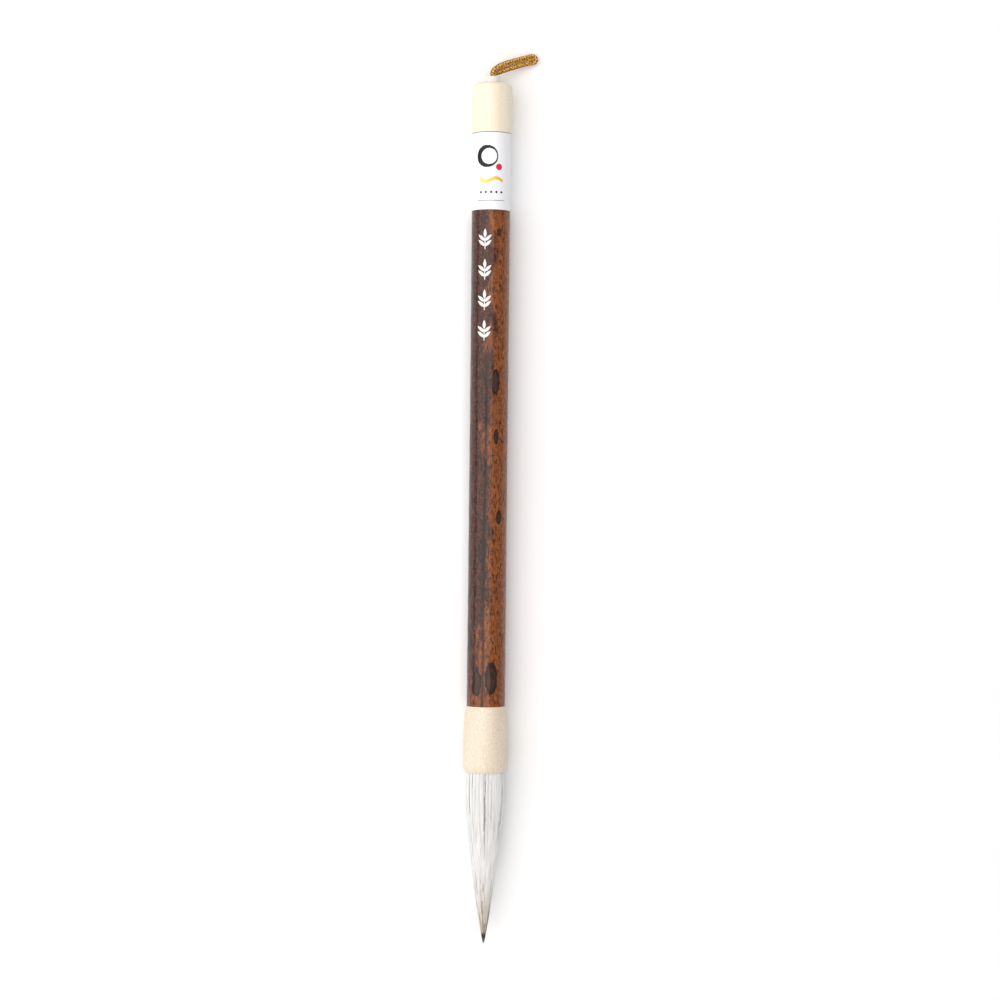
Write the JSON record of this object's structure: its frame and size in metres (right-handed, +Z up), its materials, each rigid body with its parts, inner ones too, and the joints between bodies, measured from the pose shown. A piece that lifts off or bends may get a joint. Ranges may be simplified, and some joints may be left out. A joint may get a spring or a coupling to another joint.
{
  "type": "calligraphy brush",
  "caption": "Large calligraphy brush with a mottled bamboo handle, pale turned ferrule and cap, pointed white hair tuft with a dark tip, and a braided hanging loop.",
  "frame": {"origin": "middle of the brush's length without its cord, on the surface that it lies on", "axes": "+Y along the brush from the hair tip to the top knob, +Z up from the surface that it lies on, +X to the side that the hanging loop lies on"},
  "size_m": [0.0199, 0.2589, 0.0133],
  "materials": {
    "spotted_bamboo": "mottled brown bamboo, glossy lacquer",
    "pale_maple": "fine sanded pale wood, satin",
    "white_button": "polished white, satin gloss",
    "gold_braid": "ribbed gold braid with dark flecks",
    "glossy_label_paper": "glossy coated white paper, printed ornament",
    "engraving_paint": "white paint in shallow cuts",
    "white_goat_hair": "fine white hair, soft sheen",
    "dark_core_hair": "stiffer brown hair with a black point",
    "root_resin": "amber rosin glue",
    "linen_thread": "twisted natural thread"
  },
  "bodies": {
    "root": {"bamboo_handle": "spotted_bamboo", "engraved_leaf_paint": "engraving_paint", "label_sleeve": "glossy_label_paper", "ferrule": "pale_maple", "resin_bed": "root_resin", "root_disc": "root_resin", "root_thread": "linen_thread", "top_cap": "pale_maple", "cord_knob": "white_button", "cord_knot": "gold_braid", "core_hair_root": "dark_core_hair", "waist_hair_root": "white_goat_hair", "cover_hair_root": "white_goat_hair"},
    "hair_belly": {"cover_hair_belly": "white_goat_hair", "waist_hair_belly": "white_goat_hair", "core_hair_belly": "dark_core_hair"},
    "hair_tip": {"cover_hair_tip": "white_goat_hair", "core_hair_tip": "dark_core_hair"},
    "cord_loop": {"hanging_loop": "gold_braid"}
  },
  "joints": [
    {"name": "hair_belly_bend", "type": "hinge", "parent": "root", "child": "hair_belly", "pos_m": [0, -0.0821, 0.00665], "axis": [0, 0, 1], "range_deg": [-30, 30], "stiffness_Nm_per_rad": 0.03},
    {"name": "hair_tip_bend", "type": "hinge", "parent": "hair_belly", "child": "hair_tip", "pos_m": [0, -0.1031, 0.00665], "axis": [0, 0, 1], "range_deg": [-45, 45], "stiffness_Nm_per_rad": 0.012},
    {"name": "loop_swing", "type": "hinge", "parent": "root", "child": "cord_loop", "pos_m": [0, 0.1273, 0.00665], "axis": [0, 0, 1], "range_deg": [-12, 132]}
  ]
}
